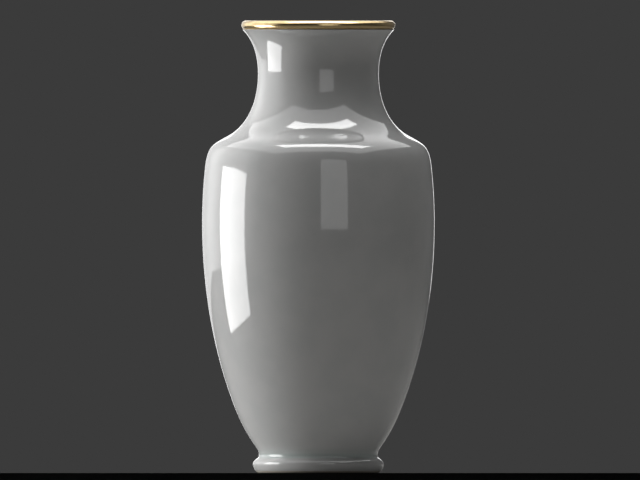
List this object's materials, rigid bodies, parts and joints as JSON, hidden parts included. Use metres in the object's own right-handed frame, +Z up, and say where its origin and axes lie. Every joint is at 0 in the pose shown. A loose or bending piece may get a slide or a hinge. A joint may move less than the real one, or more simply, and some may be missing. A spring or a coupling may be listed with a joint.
{
  "type": "baluster vase",
  "caption": "Tall round porcelain baluster vase with a flared neck, broad shoulder, tapered foot with a rounded foot bead, and a gilt bead round its open mouth.",
  "frame": {"origin": "on the vertical axis, at the middle of the foot, in the plane the vase stands on", "axes": "+Z up along the axis of the vase, foot to mouth; the vase is round, so X and Y are any two square directions"},
  "size_m": [0.154, 0.154, 0.3],
  "materials": {
    "gilt_metal": "burnished gilt, fine turning streaks, slight rubbing on the crest",
    "bedding_cement": "matte off-white bedding plaster",
    "porcelain_bisque": "fired unglazed porcelain, fine matte",
    "luting_slip": "fired slip of the same porcelain, matte",
    "clear_glaze": "clear glossy glaze with a faint cool tint where it pools"
  },
  "bodies": {
    "root": {"rim_ring": "gilt_metal", "rim_cement": "bedding_cement", "neck": "porcelain_bisque", "neck_slip": "luting_slip", "shoulder": "porcelain_bisque", "belly_slip": "luting_slip", "lower_body": "porcelain_bisque", "foot_slip": "luting_slip", "foot_ring": "porcelain_bisque", "outer_glaze": "clear_glaze", "inner_glaze": "clear_glaze", "base_glaze": "clear_glaze"}
  },
  "joints": []
}
